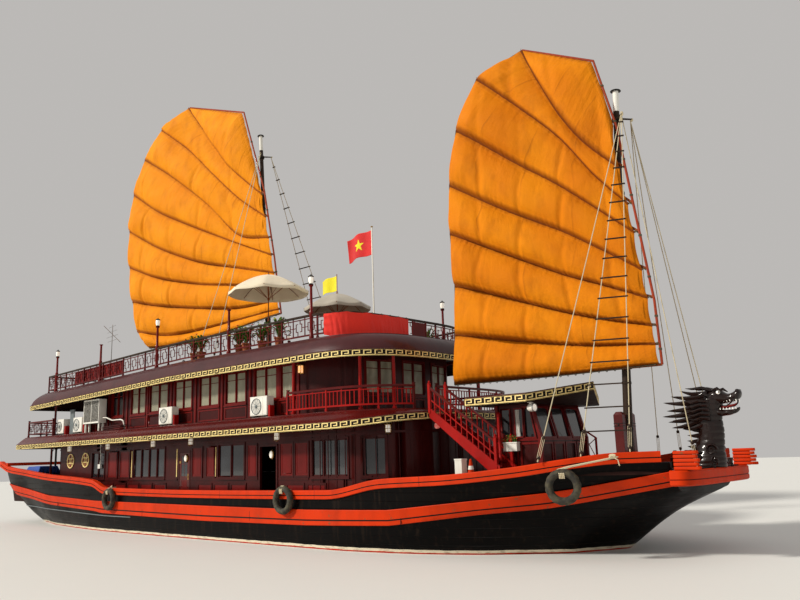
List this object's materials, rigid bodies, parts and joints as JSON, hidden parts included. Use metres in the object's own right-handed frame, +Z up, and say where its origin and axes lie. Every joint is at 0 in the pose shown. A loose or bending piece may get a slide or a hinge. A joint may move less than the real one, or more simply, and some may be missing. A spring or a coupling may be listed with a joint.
{
  "type": "chinese junk ship",
  "caption": "Two-masted wooden passenger junk with battened sails, covered cabin decks, a sun deck, a raised bow with a dragon figurehead and a wheelhouse.",
  "frame": {"origin": "on the centreline in the plane of the waterline, amidships; z = 0 is the water", "axes": "+X to the bow, +Y to port, +Z up"},
  "size_m": [35, 8.7303, 21.333],
  "materials": {
    "hull_paint": "gloss",
    "orange_paint": "gloss",
    "red_lacquer": "gloss",
    "dark_rail": "satin",
    "stair_red": "gloss",
    "roof_skirt": "satin",
    "deck_wood": "matte",
    "spar_wood": "satin",
    "mast_wood": "satin",
    "dragon_wood": "gloss",
    "sail_cloth": "matte",
    "red_cloth": "matte",
    "cream_cloth": "matte",
    "rope": "matte",
    "bronze": "satin",
    "steel": "brushed",
    "engine_iron": "matte",
    "tyre": "matte",
    "white_paint": "satin"
  },
  "bodies": {
    "ship": {"hull": "hull_paint", "gunwale": "orange_paint", "bow_beam": "orange_paint", "bow_cheek_starboard": "orange_paint", "bow_cheek_port": "orange_paint", "dragon_figurehead": "dragon_wood", "engine": "engine_iron", "main_cabin": "red_lacquer", "upper_cabin": "red_lacquer", "second_deck": "roof_skirt", "sun_deck": "roof_skirt", "sun_deck_rail": "dark_rail", "veranda_rail_starboard": "dark_rail", "veranda_rail_port": "dark_rail", "stern_rail": "dark_rail", "banner": "red_cloth", "veranda_posts": "stair_red", "stern_posts_upper": "dark_rail", "stern_posts_lower": "dark_rail", "bow_stairs": "stair_red", "wheelhouse": "red_lacquer", "wheelhouse_roof": "roof_skirt", "helm_console": "red_lacquer", "engine_hatch_coaming": "deck_wood", "mast_tabernacle": "stair_red", "fore_mast": "mast_wood", "aft_mast": "mast_wood", "fore_rigging": "rope", "aft_rigging": "rope", "tyre_fender_aft": "tyre", "tyre_fender_middle": "tyre", "tyre_fender_fore": "tyre", "fan_unit_1": "white_paint", "fan_unit_2": "white_paint", "fan_unit_3": "white_paint", "fan_unit_4": "white_paint", "condenser_cabinet": "white_paint", "umbrella_aft": "cream_cloth", "umbrella_fore": "cream_cloth", "flagpole": "white_paint", "flag": "red_cloth", "bitt_starboard": "red_lacquer", "bitt_port": "red_lacquer", "searchlight": "white_paint"},
    "propeller_body": {"propeller": "bronze", "propeller_shaft": "steel"},
    "rudder_body": {"rudder": "hull_paint"},
    "helm_body": {"helm_wheel": "spar_wood"},
    "fore_sail_body": {"fore_sail": "sail_cloth", "fore_sail_frame": "spar_wood"},
    "aft_sail_body": {"aft_sail": "sail_cloth", "aft_sail_frame": "spar_wood"},
    "cabin_door_starboard_body": {"cabin_door_starboard": "red_lacquer"},
    "cabin_door_port_body": {"cabin_door_port": "red_lacquer"},
    "saloon_door_body": {"saloon_door": "red_lacquer"},
    "wheelhouse_door_body": {"wheelhouse_door": "red_lacquer"},
    "engine_hatch_body": {"engine_hatch": "deck_wood"}
  },
  "joints": [
    {"name": "propeller_spin", "type": "hinge", "parent": "ship", "child": "propeller_body", "pos_m": [-15.62, 0, -1.02], "axis": [1, 0, 0], "continuous": true},
    {"name": "rudder_turn", "type": "hinge", "parent": "ship", "child": "rudder_body", "pos_m": [-16.45, 0, 0], "axis": [0, 0, 1], "range_deg": [-35, 35]},
    {"name": "helm_turn", "type": "hinge", "parent": "ship", "child": "helm_body", "pos_m": [9.86, 0, 3.05], "axis": [1, 0, 0], "range_deg": [-420, 420]},
    {"name": "fore_sail_swing", "type": "hinge", "parent": "ship", "child": "fore_sail_body", "pos_m": [12.28, 0, 2], "axis": [0.0539, 0, 0.9985], "range_deg": [-30, 30]},
    {"name": "aft_sail_swing", "type": "hinge", "parent": "ship", "child": "aft_sail_body", "pos_m": [-3.05, 0, 6.4], "axis": [-0.0633, 0, 0.998], "range_deg": [-30, 30]},
    {"name": "cabin_door_starboard_swing", "type": "hinge", "parent": "ship", "child": "cabin_door_starboard_body", "pos_m": [-4.317, -3.312, 1.1], "axis": [0, 0, -1], "range_deg": [0, 110]},
    {"name": "cabin_door_port_swing", "type": "hinge", "parent": "ship", "child": "cabin_door_port_body", "pos_m": [-4.317, 3.312, 1.1], "axis": [0, 0, 1], "range_deg": [0, 110]},
    {"name": "saloon_door_swing", "type": "hinge", "parent": "ship", "child": "saloon_door_body", "pos_m": [-12.012, -0.377, 4.1], "axis": [0, 0, 1], "range_deg": [0, 110]},
    {"name": "wheelhouse_door_swing", "type": "hinge", "parent": "ship", "child": "wheelhouse_door_body", "pos_m": [9.063, 1.312, 2.1], "axis": [0, 0, 1], "range_deg": [0, 100]},
    {"name": "engine_hatch_lift", "type": "hinge", "parent": "ship", "child": "engine_hatch_body", "pos_m": [-12.922, 0, 1.125], "axis": [0, -1, 0], "range_deg": [0, 95]}
  ],
  "couplings": [
    {"joint": "helm_turn", "follows": "rudder_turn", "ratio": 12}
  ]
}
